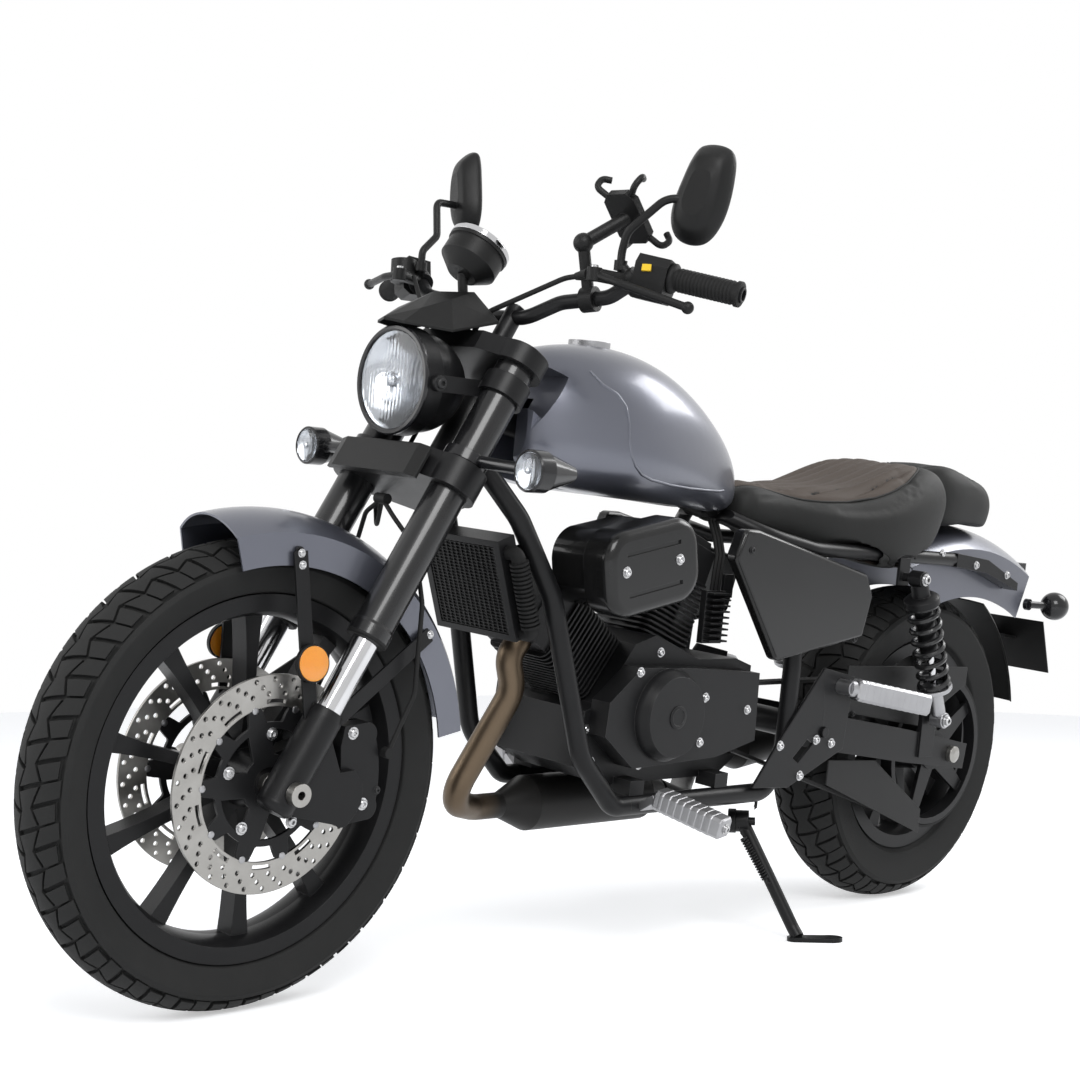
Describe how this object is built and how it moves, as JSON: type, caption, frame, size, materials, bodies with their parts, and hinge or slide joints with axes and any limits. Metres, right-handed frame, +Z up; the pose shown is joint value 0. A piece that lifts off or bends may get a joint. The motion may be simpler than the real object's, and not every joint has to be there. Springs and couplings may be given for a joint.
{
  "type": "motorcycle",
  "caption": "Cruiser motorcycle with a finned V-twin, teardrop tank, upside-down fork, cast wheels, low seat and belt drive, parked leaning on its side stand",
  "frame": {"origin": "middle of the bike's box on the ground, with the bike leaning on its side stand", "axes": "+X towards the front wheel, +Y to the rider's left, +Z up"},
  "size_m": [2.3015, 0.7992, 1.3314],
  "materials": {
    "tank_paint": "metallic grey-blue gloss",
    "black_paint": "black gloss",
    "black_satin": "black satin",
    "engine_black": "black satin heat paint",
    "black_plastic": "black grained",
    "gloss_black": "black gloss",
    "tyre": "black rubber",
    "rubber": "black rubber",
    "disc_steel": "ground steel",
    "chrome": "polished",
    "alloy": "cast",
    "seat_cover": "dark synthetic leather",
    "amber": "amber reflector",
    "lamp_glass": "clear ribbed"
  },
  "bodies": {
    "chassis": {"backbone": "black_satin", "down_tubes": "black_satin", "lower_rails": "black_satin", "seat_rails": "black_satin", "fuel_tank": "tank_paint", "fuel_cap": "alloy", "rider_seat": "seat_cover", "pillion_seat": "seat_cover", "cylinder_front": "engine_black", "cylinder_rear": "engine_black", "engine_cases": "engine_black", "engine_covers": "engine_black", "drive_belt": "rubber", "air_cleaner": "black_plastic", "radiator": "black_satin", "exhaust": "black_satin", "rear_axle": "disc_steel", "swingarm": "black_satin", "rear_shocks": "black_satin", "rear_fender": "tank_paint", "fender_struts": "black_satin", "side_panels": "black_plastic", "pivot_plates": "black_satin", "foot_pegs": "alloy", "plate_carrier": "black_plastic", "tail_lamps": "gloss_black", "rear_caliper": "black_satin", "belt_guards": "black_plastic", "radiator_hose": "rubber"},
    "steering": {"fork_tubes": "black_paint", "fork_stanchions": "chrome", "fork_feet": "black_satin", "lower_clamp": "black_satin", "upper_clamp": "black_satin", "front_axle": "disc_steel", "front_calipers": "black_satin", "handlebar": "black_satin", "grips": "rubber", "bar_controls": "black_plastic", "mirrors": "black_plastic", "instrument": "black_plastic", "headlight_shell": "black_satin", "headlight_lens": "lamp_glass", "lamp_brackets": "black_satin", "headlight_visor": "black_plastic", "front_signals": "gloss_black", "front_fender": "tank_paint", "fender_stays": "black_satin", "fork_reflectors": "amber", "phone_holder": "black_plastic", "clamp_cover": "black_plastic", "brake_hoses": "rubber"},
    "front_wheel_set": {"front_tyre": "tyre", "front_wheel": "black_satin", "front_discs": "disc_steel"},
    "rear_wheel_set": {"rear_tyre": "tyre", "rear_wheel": "black_satin", "rear_disc": "disc_steel", "rear_pulley": "black_satin"},
    "stand": {"side_stand": "black_satin"}
  },
  "joints": [
    {"name": "steering_turn", "type": "hinge", "parent": "chassis", "child": "steering", "pos_m": [0.7765, -0.10131, 0.30411], "axis": [-0.5, 0.1145, 0.8584], "range_deg": [-32, 32]},
    {"name": "front_wheel_spin", "type": "hinge", "parent": "steering", "child": "front_wheel_set", "pos_m": [0.8198, -0.098, 0.32889], "axis": [0, 0.9912, -0.1323], "continuous": true},
    {"name": "rear_wheel_spin", "type": "hinge", "parent": "chassis", "child": "rear_wheel_set", "pos_m": [-0.7352, -0.10065, 0.30906], "axis": [0, 0.9912, -0.1323], "continuous": true},
    {"name": "stand_fold", "type": "hinge", "parent": "chassis", "child": "stand", "pos_m": [-0.1702, -0.01066, 0.19718], "axis": [-0.5884, 0.8085, -0.0089], "range_deg": [0, 94]}
  ]
}
